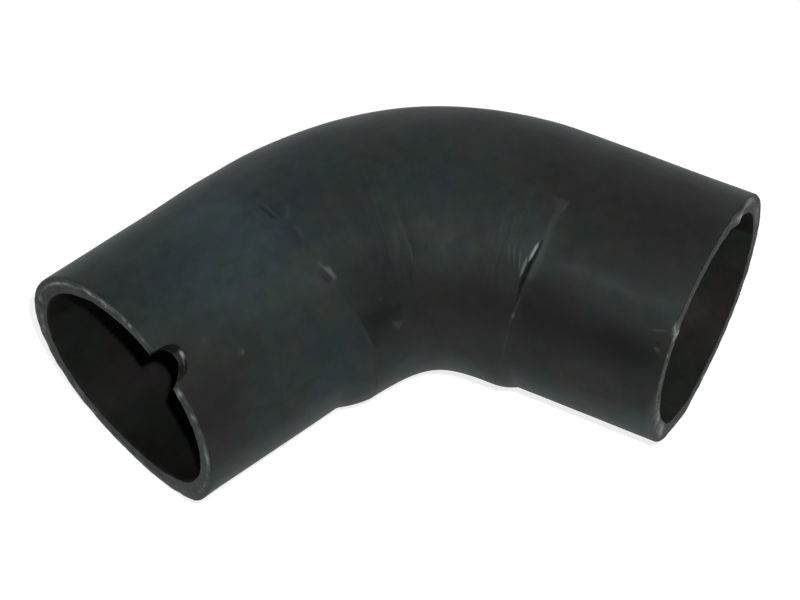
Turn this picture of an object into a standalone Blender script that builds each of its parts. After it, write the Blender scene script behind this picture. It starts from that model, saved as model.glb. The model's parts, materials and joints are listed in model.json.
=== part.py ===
"""Moulded rubber coolant hose: a one-piece elbow, lying on its side.

Two straight arms meet in one bend. Arm A runs towards -X and ends in a slanted
mouth with a rounded locating notch. Arm B runs towards +X and ends in a nearly
square mouth, with a lap seam along its wall. Between two creases the wall is
thicker on the inner side of the bend.

Metres, +Z up. The origin is on the surface that the hose lies on, under the
middle of its extent. The bend opens towards -Y.

Places on the tube are given by two numbers. "Along" is the distance along the
centreline from mouth A. "Turn" is the angle round the section: 0 is the outer
side of the bend, 90 degrees the top, 180 the inner side, 270 the underside.
"""

import math

import bmesh
import bpy
from mathutils import Vector

UP = Vector((0.0, 0.0, 1.0))

# Tube
BORE_RADIUS = 0.0300
WALL = 0.0053

# Elbow: the centreline's bend, and the straight run from it to each mouth
BEND_RADIUS = 0.0654
BEND_ANGLE = math.radians(63.4)
ARM_A_LENGTH = 0.0535
ARM_B_LENGTH = 0.0477

# Mouth cuts: how far each is off square, and the turn at which it reaches farthest
MOUTH_A_TILT = math.radians(7.6)
MOUTH_A_FARTHEST = math.radians(-33.0)
MOUTH_B_TILT = math.radians(2.1)
MOUTH_B_FARTHEST = math.radians(-27.0)

# Locating notch, punched through the wall at mouth A
NOTCH_WIDTH = 0.0104
NOTCH_DEPTH = 0.0057
NOTCH_TURN = math.radians(122.4)
NOTCH_ROUNDING = 1.7
NOTCH_POINTS = 14
PUNCH_OVERSHOOT = 0.004

# Extra rubber on the inner side of the bend, which steps down at a crease on each arm
SWELL_AT_A = 0.0035
SWELL_MIDDLE = 0.0008
SWELL_AT_B = 0.0020
SWELL_MIDDLE_PLACE = 0.61
SWELL_FADE_POWER = 1.5
CREASE_A_RUN = 0.0076
CREASE_B_RUN = 0.0068

# Lap seam on arm B: the outer ply ends in a small step down towards the inner side
LAP_STEP = 0.0004
LAP_TURN = math.radians(123.0)
LAP_STEP_WIDTH = math.radians(1.2)
LAP_FADE = math.radians(36.0)

# Fineness of the facets
FACETS_ROUND = 60
BEND_SPANS = 12

# Finish
SHARP_EDGE = math.radians(30.0)
RUBBER_COLOUR = (0.027, 0.032, 0.033, 1.0)
RUBBER_ROUGHNESS = 0.55

OUTER_RADIUS = BORE_RADIUS + WALL
BEND_LENGTH = BEND_RADIUS * BEND_ANGLE
BEND_START = ARM_A_LENGTH
BEND_END = BEND_START + BEND_LENGTH
FULL_LENGTH = BEND_END + ARM_B_LENGTH
CREASE_A = BEND_START - CREASE_A_RUN
CREASE_B = BEND_END + CREASE_B_RUN


def clear_scene():
    for old in list(bpy.data.objects):
        bpy.data.objects.remove(old)


def rubber_material():
    material = bpy.data.materials.new("black_rubber")
    material.use_nodes = True
    shader = material.node_tree.nodes["Principled BSDF"]
    shader.inputs["Base Color"].default_value = RUBBER_COLOUR
    shader.inputs["Roughness"].default_value = RUBBER_ROUGHNESS
    shader.inputs["Metallic"].default_value = 0.0
    return material


def ease(share):
    """A smooth rise from 0 to 1 as share goes from 0 to 1."""
    return (1.0 - math.cos(math.pi * share)) / 2.0


def spine(along):
    """The centreline's point, its outward side and its direction towards mouth B.

    The bend's centre is at the origin of these coordinates.
    """
    on_bend = min(max(along, BEND_START), BEND_END)
    swing = (on_bend - BEND_START) / BEND_RADIUS - BEND_ANGLE / 2.0
    outward = Vector((math.sin(swing), math.cos(swing), 0.0))
    onward = Vector((math.cos(swing), -math.sin(swing), 0.0))
    return outward * BEND_RADIUS + onward * (along - on_bend), outward, onward


def mouth_slant(along, turn, radius):
    """How far a mouth's tilted cut moves a point along the tube, towards mouth B."""
    if along <= 0.0:
        return -radius * math.tan(MOUTH_A_TILT) * math.cos(turn - MOUTH_A_FARTHEST)
    if along >= FULL_LENGTH:
        return radius * math.tan(MOUTH_B_TILT) * math.cos(turn - MOUTH_B_FARTHEST)
    return 0.0


def tube_point(along, turn, radius):
    """A point at that radius from the centreline, on the cut plane at a mouth."""
    centre, outward, onward = spine(along)
    across = outward * math.cos(turn) + UP * math.sin(turn)
    return centre + across * radius + onward * mouth_slant(along, turn, radius)


def swell(along):
    """Extra wall on the bend's inner side, full in the bend and gone past each crease."""
    if along < BEND_START:
        return SWELL_AT_A * max(0.0, (along - CREASE_A) / CREASE_A_RUN)
    if along > BEND_END:
        return SWELL_AT_B * max(0.0, (CREASE_B - along) / CREASE_B_RUN)
    share = (along - BEND_START) / BEND_LENGTH
    if share < SWELL_MIDDLE_PLACE:
        near_a = 1.0 - share / SWELL_MIDDLE_PLACE
        return SWELL_MIDDLE + (SWELL_AT_A - SWELL_MIDDLE) * ease(near_a)
    near_b = (share - SWELL_MIDDLE_PLACE) / (1.0 - SWELL_MIDDLE_PLACE)
    return SWELL_MIDDLE + (SWELL_AT_B - SWELL_MIDDLE) * ease(near_b)


def lap(along, turn):
    """Height of the lapped ply, which thins away from its edge towards the top."""
    before_edge = (LAP_TURN - turn) / LAP_FADE
    if along < CREASE_B or not 0.0 <= before_edge < 1.0:
        return 0.0
    return LAP_STEP * (1.0 - before_edge)


def outer_radius(along, turn):
    inner_side = max(0.0, -math.cos(turn)) ** SWELL_FADE_POWER
    return OUTER_RADIUS + swell(along) * inner_side + lap(along, turn)


def section_turns():
    """The turns of the facets' edges, with a flat facet underneath and a pair at the lap."""
    step = math.tau / FACETS_ROUND
    too_near = step / 3.0
    lap_edges = [LAP_TURN, LAP_TURN + LAP_STEP_WIDTH]
    plain = [step * (count + 0.5) for count in range(FACETS_ROUND)]
    apart = [turn for turn in plain if min(abs(turn - edge) for edge in lap_edges) > too_near]
    return sorted(apart + lap_edges)


def stations():
    """Distances along the centreline at which the tube has a ring of corners."""
    bend = [BEND_START + BEND_LENGTH * count / BEND_SPANS for count in range(BEND_SPANS + 1)]
    return [0.0, CREASE_A, *bend, CREASE_B, FULL_LENGTH]


def stitch(shape, near, far):
    """Joins two closed rings of corners with a band of four-sided faces."""
    for count, corner in enumerate(near):
        after = (count + 1) % len(near)
        shape.faces.new((corner, near[after], far[after], far[count]))


def add_object(name, shape, parent=None):
    mesh = bpy.data.meshes.new(name)
    bmesh.ops.recalc_face_normals(shape, faces=shape.faces)
    shape.to_mesh(mesh)
    shape.free()
    made = bpy.data.objects.new(name, mesh)
    made.parent = parent
    bpy.context.scene.collection.objects.link(made)
    return made


def make_tube():
    """The elbow's wall, closed at each mouth by a flat ring."""
    shape = bmesh.new()
    turns = section_turns()
    skins = []
    bores = []
    for along in stations():
        skin = [tube_point(along, turn, outer_radius(along, turn)) for turn in turns]
        bore = [tube_point(along, turn, BORE_RADIUS) for turn in turns]
        skins.append([shape.verts.new(point) for point in skin])
        bores.append([shape.verts.new(point) for point in bore])
    for rings in (skins, bores):
        for near, far in zip(rings, rings[1:]):
            stitch(shape, near, far)
    stitch(shape, skins[0], bores[0])
    stitch(shape, skins[-1], bores[-1])
    return add_object("hose", shape)


def notch_outline():
    """Half-round outline of the notch: (across, depth) from the mouth's rim."""
    half = NOTCH_WIDTH / 2.0
    outline = [(-half, -PUNCH_OVERSHOOT)]
    for count in range(NOTCH_POINTS + 1):
        share = -math.cos(math.pi * count / NOTCH_POINTS)
        drop = (1.0 - abs(share) ** NOTCH_ROUNDING) ** (1.0 / NOTCH_ROUNDING)
        outline.append((half * share, NOTCH_DEPTH * drop))
    outline.append((half, -PUNCH_OVERSHOOT))
    return outline


def make_notch_cutter(tube):
    """A punch with the notch's outline that runs radially through the wall."""
    rim = tube_point(0.0, NOTCH_TURN, OUTER_RADIUS)
    outward, onward = spine(0.0)[1:]
    radial = outward * math.cos(NOTCH_TURN) + UP * math.sin(NOTCH_TURN)
    sideways = onward.cross(radial)
    shape = bmesh.new()
    corners = []
    for across, depth in notch_outline():
        point = rim + radial * PUNCH_OVERSHOOT + sideways * across + onward * depth
        corners.append(shape.verts.new(point))
    face = shape.faces.new(corners)
    pulled = bmesh.ops.extrude_face_region(shape, geom=[face])["geom"]
    moved = [item for item in pulled if isinstance(item, bmesh.types.BMVert)]
    bmesh.ops.translate(shape, verts=moved, vec=-radial * (WALL + 2.0 * PUNCH_OVERSHOOT))
    cutter = add_object("notch_cutter", shape, parent=tube)
    cutter.hide_render = True
    cutter.display_type = "WIRE"
    return cutter


def cut(target, cutter):
    boolean = target.modifiers.new("notch", "BOOLEAN")
    boolean.operation = "DIFFERENCE"
    boolean.solver = "EXACT"
    boolean.object = cutter


def rest_on_surface(tube):
    """Puts the origin under the middle of the hose, on the surface that it lies on."""
    corners = [vertex.co for vertex in tube.data.vertices]
    low = [min(corner[axis] for corner in corners) for axis in range(3)]
    high = [max(corner[axis] for corner in corners) for axis in range(3)]
    tube.location = (-(low[0] + high[0]) / 2.0, -(low[1] + high[1]) / 2.0, -low[2])


def main():
    clear_scene()
    hose = make_tube()
    hose.data.materials.append(rubber_material())
    hose.data.shade_smooth()
    hose.data.set_sharp_from_angle(angle=SHARP_EDGE)
    cut(hose, make_notch_cutter(hose))
    rest_on_surface(hose)


main()
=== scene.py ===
"""Looks of the moulded rubber coolant hose.

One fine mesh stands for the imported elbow: its skin with creases and wrinkles, its
two cut mouths and its bore. Small thread ends of the ply show in the cut faces.

Metres, +Z up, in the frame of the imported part. Places on the tube are given by
"along", the distance along the centreline from mouth A, and "turn", the angle round
the section: 0 is the outer side of the bend, 90 degrees the top, 180 the inner side.
"""

import json
import math
import random

import bpy
import numpy as np
from mathutils import Matrix, Vector, noise


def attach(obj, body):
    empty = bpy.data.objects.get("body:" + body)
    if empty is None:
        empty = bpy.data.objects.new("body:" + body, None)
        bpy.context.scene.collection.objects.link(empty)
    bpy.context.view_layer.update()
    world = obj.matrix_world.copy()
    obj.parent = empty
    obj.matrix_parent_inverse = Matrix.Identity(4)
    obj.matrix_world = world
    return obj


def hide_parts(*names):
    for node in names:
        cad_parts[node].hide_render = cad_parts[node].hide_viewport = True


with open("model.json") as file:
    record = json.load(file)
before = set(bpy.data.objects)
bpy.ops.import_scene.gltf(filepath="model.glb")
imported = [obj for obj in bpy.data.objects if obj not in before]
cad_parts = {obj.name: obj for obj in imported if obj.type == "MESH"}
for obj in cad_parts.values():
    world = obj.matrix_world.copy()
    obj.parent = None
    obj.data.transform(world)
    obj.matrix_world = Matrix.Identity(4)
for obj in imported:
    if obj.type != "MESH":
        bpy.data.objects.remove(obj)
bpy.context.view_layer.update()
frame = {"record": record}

MM = 0.001

# The elbow's own sizes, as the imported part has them
BORE_RADIUS = 30.0 * MM
WALL = 5.3 * MM
BEND_RADIUS = 65.4 * MM
BEND_ANGLE = math.radians(63.4)
ARM_A_LENGTH = 53.5 * MM
ARM_B_LENGTH = 47.7 * MM
MOUTH_A_TILT = math.radians(7.6)
MOUTH_A_FARTHEST = math.radians(-33.0)
MOUTH_B_TILT = math.radians(2.1)
MOUTH_B_FARTHEST = math.radians(-27.0)
NOTCH_TURN = math.radians(122.4)
SWELL_AT_A = 3.5 * MM
SWELL_MIDDLE = 0.8 * MM
SWELL_AT_B = 2.0 * MM
SWELL_MIDDLE_PLACE = 0.61
SWELL_FADE_POWER = 1.5
CREASE_A_RUN = 7.6 * MM
CREASE_B_RUN = 6.8 * MM

# How full the swell is where it falls from arm A, where it rises towards arm B and where
# it ends at each crease; its end at crease A is also a little longer than the crease
SWELL_FALL_POWER = 1.3
SWELL_RISE_POWER = 0.8
SWELL_END_POWER_A = 1.6
SWELL_END_POWER_B = 2.3
SWELL_END_LONGER_A = 1.15

# Lapped ply on arm B: a low rise up to a soft edge, which drifts round towards mouth B
LAP_STEP = 0.4 * MM
LAP_EDGE = math.radians(122.0)
LAP_STEP_WIDTH = math.radians(8.0)
LAP_FADE = math.radians(36.0)
LAP_RISE_POWER = 1.6
LAP_DRIFT = math.radians(9.5)
LAP_DRIFT_START = 158.0 * MM
LAP_DRIFT_POWER = 1.5
LAP_ARM_START = 2.0 * MM
LAP_ARM_RUN = 8.0 * MM

OUTER_RADIUS = BORE_RADIUS + WALL
MID_RADIUS = BORE_RADIUS + WALL / 2.0
BEND_LENGTH = BEND_RADIUS * BEND_ANGLE
BEND_START = ARM_A_LENGTH
BEND_END = BEND_START + BEND_LENGTH
FULL_LENGTH = BEND_END + ARM_B_LENGTH
CREASE_A = BEND_START - CREASE_A_RUN
CREASE_B = BEND_END + CREASE_B_RUN

# Camera, fitted to the photograph: the bend's plane is level and seen from above
CAMERA_AZIMUTH = -3.735
CAMERA_ELEVATION = 57.532
CAMERA_ROLL = -2.690
CAMERA_DISTANCE = 0.6792
CAMERA_LOOKS_AT = (-0.00141, -0.00386, 0.03535)
CAMERA_LENS = 114.6
SENSOR_WIDTH = 36.0

# The notch's edge in the skin and in the bore, which differ a little because the punch
# went in aslant: width, depth, lean, sideways shift and the fullness of its two corners
NOTCH_IN_SKIN = (9.6 * MM, 5.6 * MM, -0.16, -0.80 * MM, 2.9, 2.4)
NOTCH_IN_BORE = (10.0 * MM, 4.9 * MM, 0.0, 0.0, 3.2, 1.3)

# How far beside the notch's middle the mesh runs straight in through the wall, over how
# far it turns towards the bore's middle, and the farthest side that it reckons with
NOTCH_WALL_REACH = 6.5 * MM
NOTCH_WALL_FADE = 10.0 * MM
NOTCH_WALL_LIMIT = 17.0 * MM

# Cut mouths: their edges are rounded, and the mesh is drawn to them over a reach. The cut
# face is crowned, its pale spots stand up and the ply in it is a shallow groove
EDGE_ROUND = 0.22 * MM
EDGE_RUN = 0.45 * MM
MOUTH_REACH = 32.0 * MM
RIM_ROWS = 14
CUT_CROWN = 0.10 * MM
SPOT_RISE = 0.12 * MM
PLY_SHARE = 0.36
PLY_HALF_WIDTH = 0.07
PLY_GROOVE = 0.08 * MM
SHARP_ANGLE = math.radians(42.0)

# Slight wave of each cut: cosine and sine amounts of its second and third harmonics, and
# how much shorter mouth A is towards one turn
CUT_WAVE_A = ((0.82 * MM, 0.19 * MM), (-0.11 * MM, -0.15 * MM))
CUT_WAVE_B = ((0.07 * MM, 0.19 * MM), (-0.15 * MM, -0.14 * MM))
CUT_SHORT_A = 0.22 * MM
CUT_SHORT_TURN_A = math.radians(290.0)

# Ragged line of a cut, as (patterns round the tube, height), and where each cut reads it
RAGGED = ((9.0, 0.16 * MM), (24.0, 0.07 * MM), (60.0, 0.035 * MM))
RAGGED_SEED_A = 3.1
RAGGED_SEED_B = 8.7

# Unevenness of each surface, as (pattern size, height)
SKIN_UNEVEN = ((26.0 * MM, 0.16 * MM), (9.0 * MM, 0.05 * MM))
BORE_UNEVEN = ((18.0 * MM, 0.12 * MM),)
CUT_UNEVEN = ((3.0 * MM, 0.14 * MM), (1.1 * MM, 0.07 * MM))

# Bumps round an uneven cut: middle turn and reach (degrees) and how much (mm). How far
# the cut stands out at each mouth, how far the bore's edge there flares, and the skin's
CUT_BUMPS_A = ((214, 13, 0.25), (160, 22, -0.3))
CUT_BUMPS_B = (
    (132.4, 1.8, 0.22),
    (137, 1.6, -0.12),
    (63, 4.6, 0.6),
    (216, 13, -0.3),
    (238, 8, -0.22),
    (258, 6, 0.18),
)
BORE_FLARE_A = ((76, 14, 0.35), (168, 24, 0.95), (188, 14, 0.5), (228, 18, -0.95), (264, 24, -0.5))
BORE_FLARE_B = ((88, 12, 0.5), (162, 19, 0.85), (206, 11, -0.65), (238, 12, 0.3), (352, 14, 0.45))
SKIN_FLARE_A = ((218, 13, 0.4),)
FLARE_DEPTH = 3.0 * MM

# Where the cut faces are paler (plus) or darker (minus): middle and reach of turn
# (degrees), middle and reach of the share of the wall from the skin inward, and how much
SPOTS_AT_A = (
    (46, 12, 0.34, 0.07, 1),
    (40, 26, 0.8, 0.25, -0.2),
    (71.5, 4.5, 0.28, 0.12, 1.1),
    (81, 3, 0.3, 0.16, 0.85),
    (89, 4, 0.1, 0.12, 0.28),
    (94, 1.2, 0.25, 0.14, 0.55),
    (97.5, 0.9, 0.3, 0.13, 1.4),
    (106.6, 0.9, 0.3, 0.1, 0.8),
    # Painted shade on the notch's upper wall
    (116, 3.2, 0.45, 1.6, -1.7),
    (120.2, 1.7, 0.24, 0.15, 2.3),
    (133.6, 1.4, 0.5, 0.3, 1.1),
    (147, 1.7, 0.32, 0.22, 0.6),
    (155, 5, 0.3, 0.25, 0.12),
    (169.5, 6, 0.25, 0.14, 0.85),
    (290, 34, 0.55, 0.35, -0.1),
    (15.5, 2.5, 0.42, 0.14, 0.7),
    (0.5, 2.5, 0.6, 0.16, 0.6),
    (352.5, 3, 0.57, 0.14, 0.6),
    (311, 4, 0.7, 0.2, 0.5),
    (330, 30, 0.12, 0.12, 0.45),
    (270, 40, 0.14, 0.12, 0.45),
)
SPOTS_AT_B = (
    (48, 9, 0.28, 0.26, 1),
    (62, 4.6, 0.55, 0.32, 1.4),
    (104, 20, 0.4, 0.45, -0.1),
    (132.4, 2.6, 0.4, 0.5, 1.5),
    (139.5, 4.5, 0.25, 0.35, -0.6),
    (138, 5, 0.85, 0.12, 0.5),
    (154, 10, 0.4, 0.3, 0.22),
    (175, 4, 0.7, 0.22, 0.4),
    (184, 5.5, 0.7, 0.22, 1.2),
    (205, 8, 0.66, 0.26, 1.3),
    (211, 3.5, 0.36, 0.15, 0.9),
    (15, 12, 0.55, 0.25, 0.5),
)
# Rust-brown stain on the wall of the notch: middle and reach of turn (degrees)
STAINED = (125.6, 4.6)

# Lines on the skin, from the photograph: a course of (along mm, turn degrees), half
# width mm, height mm (minus is a groove), tone (plus is lighter) and any gloss. Most tones
# are painted light and shade: lighter on ridges and lips, darker in grooves and folds
LINES = (
    # Hooked fold at the top of crease A: two grooves with painted shade, the ridge between them and
    # its curl with painted light, and painted shade inside the curl
    (((49.4, 82.6), (50.1, 88), (50.4, 91.5), (51.2, 95.2)), 0.4, -0.28, -0.62),
    (((51.7, 86.4), (51.9, 91.1), (52.4, 95)), 0.3, -0.18, -0.45),
    (((50.3, 83.2), (51, 87), (51.3, 91), (51.9, 95)), 0.36, 0.22, 0.07),
    (((52.2, 95.6), (53.6, 95.4), (54.8, 93.4), (55.2, 90.6)), 0.36, 0.16, 0.06),
    (((53.2, 86.6), (53.6, 92.4)), 1.1, -0.05, -0.1),
    # Crease A further round: a dark dash of painted shade with a light edge of painted light, and the
    # painted shade under the flake
    (((51.9, 99.8), (51.9, 104.5), (51.8, 109.8)), 0.48, -0.15, -0.24),
    (((53.1, 99.8), (53.4, 104), (53.5, 107.8)), 0.42, 0.1, 0.045),
    (((51.9, 121.4), (51.9, 125.2), (52.6, 129.4)), 0.6, -0.24, -0.46),
    (((54.6, 131), (54.2, 137.5), (55.6, 144)), 1, -0.12, -0.14),
    # Pinched dent where crease A meets the inner side: painted shade in its dark upper fold, spots of
    # painted light, and more painted shade
    (((55.4, 143.4), (56.8, 147.2), (62.8, 149.6), (70.4, 151.2), (82, 151)), 1.4, -0.22, -0.46),
    (((68.5, 143.4), (69.5, 145.2)), 0.7, 0.14, 0.13),
    (((61.8, 155.6), (63, 157)), 0.65, 0.1, 0.05),
    (((77.7, 146.8), (76.4, 153.4)), 0.45, -0.12, -0.34),
    (((86.8, 150.2), (86.3, 155.6)), 0.48, -0.12, -0.34),
    (((65.7, 124), (65, 128.7), (64.1, 132.8)), 1.3, -0.1, -0.17),
    (((76.2, 129.6), (74.9, 134.8), (72.8, 139.6)), 1.25, -0.12, -0.24),
    (((86.4, 134.4), (86.2, 139.6), (86.2, 144.2)), 1, -0.1, -0.22),
    (((61, 145.8), (69.4, 148), (75, 145.4)), 1.9, -0.1, -0.2),
    (((86.9, 123.6), (87, 128.4), (86.9, 132.4)), 0.38, 0.1, 0.045),
    (((54.4, 178), (54, 188)), 0.55, -0.12, -0.3),
    # Wrinkles across the bend, with painted light on their ridges and painted shade in their grooves
    (((82.4, 118), (81.6, 125.7), (80.2, 133)), 0.75, 0.07, 0.03),
    (((83.8, 111), (85.7, 123.3), (86.6, 127.3), (87, 135)), 0.6, 0.09, 0.035),
    (((85.2, 110), (86.7, 119.6), (87.8, 124.9), (88, 133)), 0.55, -0.1, -0.16),
    (((77.3, 117), (77.6, 126), (77.5, 131.9), (78, 140)), 1, -0.1, -0.16),
    (((72, 122), (72.6, 131), (72.4, 139)), 1.1, -0.08, -0.14),
    (((85.9, 134.5), (85.2, 145)), 0.8, -0.08, -0.14),
    (((92, 114), (93, 124), (92.6, 135)), 0.9, -0.05, -0.07),
    (((100.5, 107), (101.6, 118), (101.4, 128)), 0.9, 0.05, 0.02),
    (((110, 106), (110.9, 117), (110.6, 128)), 0.9, -0.05, -0.07),
    # Crease B: a tight slit with painted shadow in it, the painted glint on its lip, and fine pulls
    # that fan out from it, with painted light on the raised ones and painted shade on the sunken ones
    (((131.9, 115.4), (131.6, 120.5), (131.1, 126.7), (130.9, 131.6), (130.7, 136.4), (131, 142)),
     0.37, -0.8, -1),
    (((131.3, 116.4), (131.2, 119), (131, 122.4), (130.7, 126)), 0.36, 0.45, 1.5, 1),
    (((129.9, 123.4), (130, 128), (129.9, 133.2)), 0.4, 0.16, 0.34, 0.4),
    (((127.3, 121.8), (128.4, 126.4), (129.2, 130.6)), 0.36, 0.08, 0.11, 0.2),
    (((125.5, 120.8), (126.7, 125.4), (127.8, 130)), 0.38, 0.06, 0.08, 0.1),
    (((123.4, 120.4), (124.9, 125.4), (126.3, 129.6)), 0.4, 0.05, 0.06, 0.1),
    (((124.4, 120.8), (127, 129.6)), 0.36, -0.06, -0.13),
    (((126.4, 121.2), (128.5, 130)), 0.36, -0.06, -0.13),
    (((121.4, 111), (122.2, 119), (123, 127)), 0.35, -0.05, -0.08),
    (((118.4, 109), (119.4, 116.7), (119.9, 123)), 0.35, 0.05, 0.035),
    (((134, 94.6), (133.9, 98), (133.6, 101)), 0.36, 0.1, 0.06),
    # The crease runs on below the slit as a fine line of painted light with one bright fleck of
    # painted highlight
    (((131.8, 140), (131.3, 146), (130.9, 151), (130.8, 157)), 0.28, 0.12, 0.07),
    (((130.8, 156), (130.7, 164), (130.6, 170), (130.3, 178)), 0.3, 0.1, 0.035),
    (((131.2, 149), (131.1, 150.2)), 0.4, 0.14, 0.275, 0.3),
    # Scratch, nick and frayed spot near mouth B, and a painted pale reflection along its lower edge
    (((171.6, 127.6), (172.6, 130), (173.2, 133.8)), 0.85, 0.3, 0.85, 0.5),
    (((166, 133.6), (168.5, 132.8), (170.4, 131.4)), 0.32, -0.08, 0.08, 0.1),
    (((168.2, 138), (169.6, 139)), 0.44, -0.3, -0.9),
    (((168.2, 139.8), (170, 141.6)), 0.34, 0.12, 0.15, 0.1),
    (((172.4, 158), (172.3, 172), (172.2, 188), (172.4, 204)), 1.3, 0.05, 0.12),
    # Painted highlight along the edge of the lapped ply
    (((136, 122), (146, 121.8), (156, 122.2), (165, 124.6)), 1.7, 0.04, 0.022),
    # Small scuffs on arm A
    (((22.7, 132.4), (24.1, 134)), 0.65, 0.12, 0.13),
    (((16, 119.9), (17.2, 120.9)), 0.55, 0.1, 0.07),
)

# A line tapers over a share of its length at both ends, to shares of width and height
TAPER_SHARE = 0.3
END_WIDTH = 0.35
END_HEIGHT = 0.25
# Farther off than any place on the hose is, in metres
FAR_AWAY = 1.0

# Broad low rises (plus) and hollows (minus) of the outer side, from its outline in the
# photograph: middle and reach along (mm) and height (mm), and middle and reach of turn
OUTER_WAVES = ((44.0, 8.0, 0.28), (68.0, 9.0, -0.28), (97.0, 14.0, 0.22))
OUTER_WAVES_TURN = (33.0, 40.0)

# Flat facets of the skin, raised or pressed in: corners (along mm, turn degrees), how
# soft the edge is (mm), height mm, tone and any gloss
FACETS = (
    # Turned-up flake on crease A, with a painted highlight where it catches the light
    (((52.6, 118.8), (53, 121.8), (54.9, 123.2), (54.9, 128.4), (53.4, 128.4), (52.5, 123.2)),
     0.7, 0.32, 0.17, 0.2),
    # Dent: painted light on its near side, painted shade in its dark hollow, and painted light on the
    # lit facet beyond
    (((54.3, 149.6), (56.1, 150.2), (56.8, 156.4), (57.6, 161.6), (55.2, 161.4), (54.2, 154)),
     2, 0.16, 0.034),
    (((56.4, 148.8), (69.6, 153.2), (68.4, 156.6), (63.4, 158.6), (60.8, 163.4), (58, 162),
      (57, 154)), 3, -0.34, -0.25),
    (((69.7, 153.4), (78.4, 156.7), (74.2, 159.8)), 1.2, 0.22, 0.062),
    # Raised band on the arm's side of crease B, wide at the top and narrow beside the slit, lighter
    # with painted light
    (((130, 96), (133.9, 95.4), (133.4, 108), (133.2, 116), (133.6, 123.5), (133.1, 131.5),
      (131.7, 134), (131.9, 124), (132.2, 116), (131.7, 108.2), (131.9, 101.6)), 1.6, 0.16, 0.052),
)

# How blue-green the plain skin is, and how steep the edges of broad areas are
SKIN_COOL = 0.34
AREA_EDGE_POWER = 1.3

# Broad areas of the skin: middle (along mm, turn degrees), reach (mm, degrees), how
# much lighter or darker, and any change in how blue-green it is. They are mostly painted
# light and shade: the pale blue-green strips along the top and lower edges are painted
# reflection of the pale room, and the rest lighten or darken the skin where the lamps
# alone fall short, with a few of the rubber's own patches among them
AREAS = (
    (86, 47, 300, 9, 0.32, 0.7),
    (86, 72, 300, 24, -0.09),
    (20, 46, 24, 9, 0.2, 0.1),
    (86, 188, 300, 9, 0.36, 0.5),
    (30, 88, 34, 42, 0.28, 0.9),
    (38, 68, 14, 16, 0.38, 0.1),
    (47, 90, 9, 16, 0.16, 0.1),
    (5, 80, 9, 18, -0.18, -0.2),
    (28, 132, 8, 14, -0.22),
    (40, 160, 22, 20, 0.32, 0.5),
    (10, 142, 15, 24, -0.36, -0.5),
    (62, 155, 11, 10, -0.45),
    (66, 132, 12, 14, -0.22),
    (76, 60, 30, 34, 0.2, 0.4),
    (66, 88, 13, 12, -0.12),
    (96, 44, 14, 8, -0.44, 0.1),
    (96, 146, 34, 18, -0.36, -0.4),
    (103, 169, 22, 9, 0.17),
    (104, 102, 24, 14, 0.02, 0.3),
    (152, 88, 26, 26, -0.36, -0.4),
    (137, 136, 8, 7, -0.25),
    (163, 143, 9, 9, -0.28),
    (148, 147, 30, 13, -0.58, -0.2),
    (146, 122.5, 28, 5.5, 0.22, 0.2),
    (150, 178, 24, 16, 0.1),
    (34, 94, 12, 26, 0.13),
    (42, 172, 7, 12, 0.24, 0.1),
    (52, 68, 5, 13, -0.14, -0.1),
    (68, 141, 22, 15, -0.15, 0.25),
    (100, 132, 12, 11, 0.18, 0.3),
    (104, 116, 44, 18, 0, 0.25),
    (127, 118, 7, 14, 0.16, 0.2),
    (126, 56, 14, 10, 0.14, 0.2),
    (140, 133, 8, 5, -0.22),
    (116, 150, 9, 14, -0.14),
    (140, 170, 40, 9, 0, -0.3),
    (54, 42, 9, 6, -0.2),
    (36, 69, 11, 7, 0.13),
    (24, 116, 7, 20, -0.09),
    (68, 118, 5, 8, 0.18),
    (97, 129, 8, 7, 0.1, 0.1),
    (133, 119, 3.5, 8, 0.14, 0.1),
    (162, 146, 10, 9, -0.22),
    (163, 144, 7, 5, -0.16),
    (7, 107, 5, 7, 0.1, -0.3),
    (9.5, 119, 3.5, 7, -0.14, -0.35),
    (6, 88, 8, 22, -0.05),
    (100, 76, 8, 14, -0.08),
    (162, 84, 12, 18, -0.08),
    (86, 183, 300, 9, 0.22),
    (168, 185, 8, 13, 0.28, 0.4),
    (146, 52, 24, 8, 0.08),
)

# The same for the bore, where the mean is brown and plus is greener. These paint light and shade
# inside the bore, most of all a lighter far end near mouth B
BORE_AREAS = (
    (2, 350, 12, 26, 0.7),
    (14, 298, 9, 13, -0.3),
    (4, 242, 9, 14, 0.35),
    (160, 290, 42, 160, 1, 0.08),
    (172, 358, 14, 20, 0.6, 0.06),
    (171, 246, 14, 26, 0.45, 0.08),
)

# Where fine pulls run round the tube: middle and reach along it (mm) and of turn
PULLED = ((80.0, 20.0), (122.0, 9.0))
PULLED_TURN = (120.0, 26.0)

# Columns (degrees) and rows (mm) of the mesh: the plain step, and the places where it is
# closer, as (start, end, step). They are close at the mouths, the notch and the marks
END_B = FULL_LENGTH / MM
COLUMN_STEP = 2.0
MARKED_COLUMNS = (60.0, 190.0, 0.8)
NOTCH_CORNER_REACH = 0.9
NOTCH_CORNER_STEP = 0.2
ROW_STEP = 1.3
ROW_ZONES = (
    (0.0, 2.0, 0.3),
    (15.0, 25.0, 0.9),
    (47.0, 63.0, 0.42),
    (63.0, 90.0, 0.8),
    (116.0, 121.5, 0.6),
    (121.5, 128.0, 0.32),
    (128.0, 134.5, 0.2),
    (164.0, END_B - 2.0, 0.5),
    (END_B - 2.0, END_B, 0.3),
)
BORE_ROW_STEP = 6.0
BORE_ROW_ZONES = ((0.0, 1.6, 0.4), (1.6, 12.0, 2.6), (END_B - 1.6, END_B, 0.4))

# Thread ends of the ply: how many places round each mouth and the share of them that
# holds one, and the turns of mouth A between which there is none
THREADS_AT_A = (120, 0.30)
THREADS_AT_B = (110, 0.25)
BARE_AT_A = (86.0, 188.0)
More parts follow.
